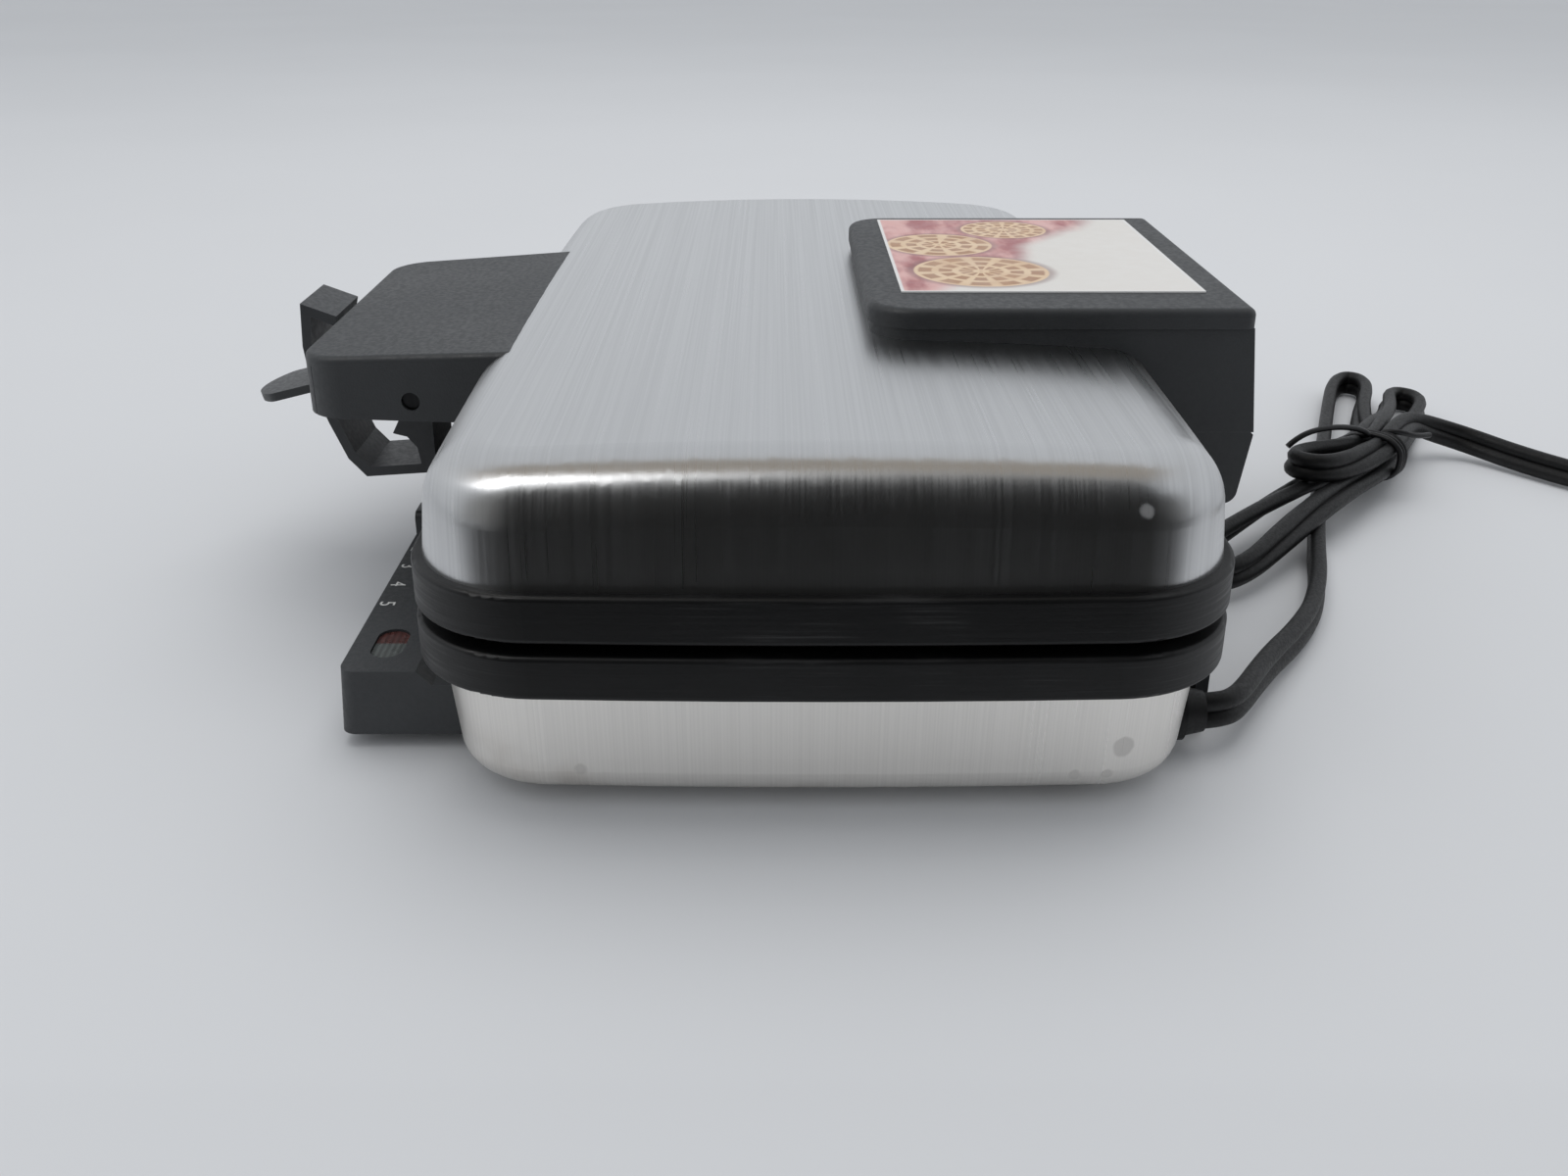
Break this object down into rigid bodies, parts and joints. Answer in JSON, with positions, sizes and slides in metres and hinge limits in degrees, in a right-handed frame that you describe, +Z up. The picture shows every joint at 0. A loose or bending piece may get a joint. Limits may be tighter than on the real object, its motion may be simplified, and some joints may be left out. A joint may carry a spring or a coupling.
{
  "type": "pizzelle maker",
  "caption": "Electric pizzelle maker: hinged stainless lid over round patterned plates, with a front latch handle, a temperature slider and a tied mains cord.",
  "frame": {"origin": "on the table, under the middle of the appliance's bounding box without its cord", "axes": "+X to the user's right along the hinge line, +Y towards the hinge at the back, +Z up"},
  "size_m": [0.2676, 0.4225, 0.0752],
  "materials": {
    "stainless": "fine brushed satin",
    "ring_plastic": "scuffed matt",
    "cast_plate": "dark non-stick coated casting",
    "element_sheath": "oxidised sheath",
    "bright_sheet": "bright rolled",
    "screw_steel": "zinc plated",
    "red_lens": "tinted, unlit",
    "green_lens": "tinted, unlit",
    "lamp_glass": "clear",
    "ceramic": "unglazed",
    "foot_rubber": "matt",
    "label_film": "printed film",
    "cord_vinyl": "satin",
    "tie_vinyl": "satin",
    "plug_vinyl": "satin",
    "blade_brass": "bright",
    "black_plastic": "fine moulded grain"
  },
  "bodies": {
    "base": {"base_shell": "stainless", "lower_ring": "ring_plastic", "lower_grid_plate": "cast_plate", "lower_heating_element": "element_sheath", "lower_element_straps": "bright_sheet", "lower_strap_screws": "screw_steel", "lower_heat_reflector": "bright_sheet", "control_housing": "black_plastic", "control_housing_cover": "black_plastic", "panel_screws": "screw_steel", "thermostat": "ceramic", "indicator_red_lens": "red_lens", "indicator_green_lens": "green_lens", "indicator_lamps": "lamp_glass", "latch_catch": "black_plastic", "base_hinge_arms": "black_plastic", "hinge_pin": "screw_steel", "cord_posts": "black_plastic", "strain_relief": "plug_vinyl", "terminal_block": "ceramic", "rubber_feet": "foot_rubber", "foot_screws": "screw_steel", "cord_lead": "cord_vinyl", "cord_hank": "cord_vinyl", "cord_tail": "cord_vinyl", "twist_tie": "tie_vinyl", "plug_body": "plug_vinyl", "plug_blades": "blade_brass"},
    "temperature_slider": {"temperature_slider": "black_plastic"},
    "lid": {"lid_shell": "stainless", "upper_ring": "ring_plastic", "upper_grid_plate": "cast_plate", "upper_heating_element": "element_sheath", "upper_element_straps": "bright_sheet", "upper_strap_screws": "screw_steel", "upper_heat_reflector": "bright_sheet", "handle_shell": "black_plastic", "handle_screws": "screw_steel", "latch_pin": "screw_steel", "rear_cover_top": "black_plastic", "rear_cover_base": "black_plastic", "rear_cover_lower": "black_plastic", "cover_screws": "screw_steel", "cover_label": "label_film", "lid_hinge_arms": "black_plastic"},
    "latch": {"latch_loop": "black_plastic"}
  },
  "joints": [
    {"name": "lid_hinge", "type": "hinge", "parent": "base", "child": "lid", "pos_m": [0, 0.1043, 0.0386], "axis": [-1, 0, 0], "range_deg": [0, 100]},
    {"name": "latch_pivot", "type": "hinge", "parent": "lid", "child": "latch", "pos_m": [0, -0.0655, 0.0547], "axis": [-1, 0, 0], "range_deg": [-9, 38]},
    {"name": "temperature_slide", "type": "slide", "parent": "base", "child": "temperature_slider", "axis": [1, 0, 0], "range_m": [0, 0.064]}
  ]
}
